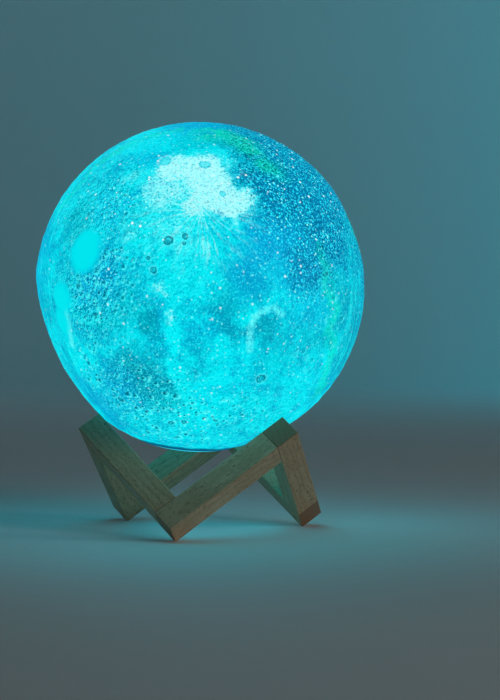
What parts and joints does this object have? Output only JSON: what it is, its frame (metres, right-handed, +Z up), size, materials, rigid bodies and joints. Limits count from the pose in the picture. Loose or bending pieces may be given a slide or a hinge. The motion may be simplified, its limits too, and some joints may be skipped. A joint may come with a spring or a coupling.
{
  "type": "planet lamp",
  "caption": "Round table lamp: a hollow printed globe with planet relief, lit from inside through its base cap, lying loose in a zigzag cradle of square wooden rails.",
  "frame": {"origin": "on the table top, under the axis of the wooden cradle, which is also the centre of the bounding box's bottom", "axes": "+Z up, -Y towards the viewer of the picture, +X to the viewer's right"},
  "size_m": [0.149, 0.149, 0.1841],
  "materials": {
    "beech": "oiled beech",
    "dowel_beech": "raw beech",
    "globe_print": "translucent printed plastic, lit from inside",
    "cap_plastic": "moulded white plastic",
    "button_plastic": "moulded grey plastic",
    "clear_pipe": "clear moulded plastic",
    "socket_steel": "tinned steel",
    "screw_steel": "zinc plated",
    "black_plastic": "moulded black plastic",
    "board_green": "green solder mask on glass laminate",
    "board_white": "white solder mask on glass laminate",
    "ferrite": "sintered grey-brown",
    "phosphor": "yellow phosphor in a white case",
    "connector_nylon": "natural nylon",
    "pad_foam": "dark grey foam",
    "cell_wrap": "blue shrink wrap over a steel can",
    "red_lead": "soft insulation",
    "white_lead": "soft insulation"
  },
  "bodies": {
    "stand": {"rail_front_right": "beech", "rail_right": "beech", "rail_back_right": "beech", "rail_back_left": "beech", "rail_left": "beech", "rail_front_left": "beech", "joint_dowels": "dowel_beech"},
    "lamp": {"globe_shell": "globe_print", "base_cap": "cap_plastic", "light_pipe": "clear_pipe", "tact_switch": "black_plastic", "usb_shell": "socket_steel", "usb_tongue": "black_plastic", "control_board": "board_green", "control_chip": "black_plastic", "board_parts": "ferrite", "charge_led": "phosphor", "board_screws": "screw_steel", "battery_plug": "connector_nylon", "battery_pads": "pad_foam", "battery_cell": "cell_wrap", "battery_leads": "red_lead", "inner_cover": "cap_plastic", "light_board": "board_white", "light_board_screws": "screw_steel", "lights": "phosphor", "ir_receiver": "black_plastic", "light_leads": "white_lead"},
    "power_button": {"power_button": "button_plastic", "switch_plunger": "black_plastic"}
  },
  "joints": [
    {"name": "lamp_lift", "type": "slide", "parent": "stand", "child": "lamp", "axis": [0, 0, 1], "range_m": [0, 0.1]},
    {"name": "button_press", "type": "slide", "parent": "lamp", "child": "power_button", "axis": [0.0865, -0.1219, 0.9888], "range_m": [0, 0.0005], "stiffness_N_per_m": 3000}
  ]
}
